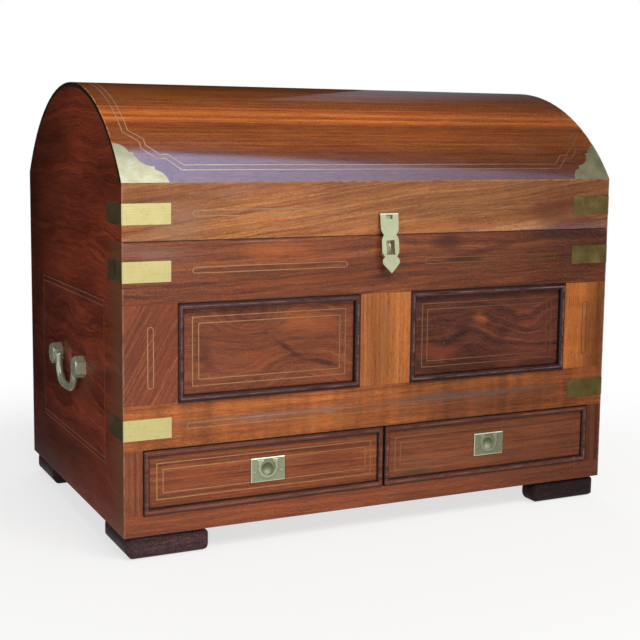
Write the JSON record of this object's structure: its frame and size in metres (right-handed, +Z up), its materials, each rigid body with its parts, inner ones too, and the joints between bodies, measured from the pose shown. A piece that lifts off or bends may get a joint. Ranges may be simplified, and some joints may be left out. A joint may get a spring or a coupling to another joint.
{
  "type": "dowry chest",
  "caption": "Wooden dowry chest with a domed hinged lid, hasp, drawers below the well, brass bands, inlaid lines and side drop handles.",
  "frame": {"origin": "on the floor, below the middle of the whole chest's bounding box", "axes": "+X to the chest's right as seen from the front, +Y to the back, +Z up; the front faces -Y"},
  "size_m": [0.79, 0.5124, 0.621],
  "materials": {
    "wood_dark_red": "gloss lacquer over dark red-brown rosewood",
    "wood_figured": "gloss lacquer over figured red-brown rosewood",
    "wood_golden": "gloss lacquer over golden-brown rosewood",
    "wood_moulding": "satin lacquer over dark purple-brown wood",
    "wood_inside": "plain planed wood",
    "wood_black": "worn near-black stain",
    "inlay": "thin golden line, flush with the wood",
    "brass_yellow": "pale yellow brass, lightly worn",
    "brass_aged": "dull green-grey aged brass"
  },
  "bodies": {
    "chest": {"front_top_rail": "wood_dark_red", "left_side_frame": "wood_dark_red", "left_side_panel": "wood_dark_red", "right_side_frame": "wood_dark_red", "right_side_panel": "wood_dark_red", "back_boards": "wood_dark_red", "front_left_stile": "wood_figured", "front_right_stile": "wood_figured", "drawer_bay_stiles": "wood_figured", "left_panel": "wood_figured", "right_panel": "wood_figured", "front_bottom_rail": "wood_figured", "front_mid_rail": "wood_golden", "front_muntin": "wood_golden", "left_panel_moulding": "wood_moulding", "right_panel_moulding": "wood_moulding", "well_floor": "wood_inside", "base_board": "wood_inside", "drawer_divider": "wood_inside", "drawer_guides": "wood_inside", "front_feet": "wood_black", "back_feet": "wood_black", "chest_stringing": "inlay", "chest_bands": "brass_yellow", "chest_hinge_leaves": "brass_aged", "hinge_pins": "brass_aged", "chest_screws": "brass_aged", "hasp_staple": "brass_aged", "left_handle_bosses": "brass_aged", "right_handle_bosses": "brass_aged", "handle_nuts": "brass_aged"},
    "lid": {"lid_front_rail": "wood_golden", "lid_back_rail": "wood_dark_red", "lid_left_end": "wood_dark_red", "lid_right_end": "wood_dark_red", "dome_skin": "wood_figured", "lid_stringing": "inlay", "lid_bands": "brass_yellow", "dome_corner_mounts": "brass_yellow", "lid_hinge_leaves": "brass_aged", "lid_screws": "brass_aged", "hasp_leaf": "brass_aged", "hasp_pin": "brass_aged"},
    "hasp": {"hasp_strap": "brass_aged"},
    "left_drawer": {"left_drawer_front": "wood_figured", "left_drawer_box": "wood_inside", "left_drawer_moulding": "wood_moulding", "left_drawer_stringing": "inlay", "left_pull_plate": "brass_aged", "left_pull_screws": "brass_aged"},
    "right_drawer": {"right_drawer_front": "wood_figured", "right_drawer_box": "wood_inside", "right_drawer_moulding": "wood_moulding", "right_drawer_stringing": "inlay", "right_pull_plate": "brass_aged", "right_pull_screws": "brass_aged"},
    "left_pull": {"left_pull_ring": "brass_aged"},
    "right_pull": {"right_pull_ring": "brass_aged"},
    "left_handle": {"left_bail": "brass_aged"},
    "right_handle": {"right_bail": "brass_aged"}
  },
  "joints": [
    {"name": "lid_hinge", "type": "hinge", "parent": "chest", "child": "lid", "pos_m": [0, 0.25218, 0.41415], "axis": [-1, 0, 0], "range_deg": [0, 95]},
    {"name": "hasp_hinge", "type": "hinge", "parent": "lid", "child": "hasp", "pos_m": [0, -0.24422, 0.442], "axis": [-1, 0, 0], "range_deg": [-7.15, 160]},
    {"name": "left_drawer_slide", "type": "slide", "parent": "chest", "child": "left_drawer", "axis": [0, -1, 0], "range_m": [0, 0.3]},
    {"name": "left_pull_hinge", "type": "hinge", "parent": "left_drawer", "child": "left_pull", "pos_m": [-0.17727, -0.24002, 0.11495], "axis": [-1, 0, 0], "range_deg": [0, 95]},
    {"name": "left_handle_hinge", "type": "hinge", "parent": "chest", "child": "left_handle", "pos_m": [-0.388, 0.00288, 0.225], "axis": [0, 1, 0], "range_deg": [-3, 95]},
    {"name": "right_drawer_slide", "type": "slide", "parent": "chest", "child": "right_drawer", "axis": [0, -1, 0], "range_m": [0, 0.3]},
    {"name": "right_pull_hinge", "type": "hinge", "parent": "right_drawer", "child": "right_pull", "pos_m": [0.17727, -0.24002, 0.11495], "axis": [-1, 0, 0], "range_deg": [0, 95]},
    {"name": "right_handle_hinge", "type": "hinge", "parent": "chest", "child": "right_handle", "pos_m": [0.388, 0.00288, 0.225], "axis": [0, -1, 0], "range_deg": [-3, 95]}
  ]
}
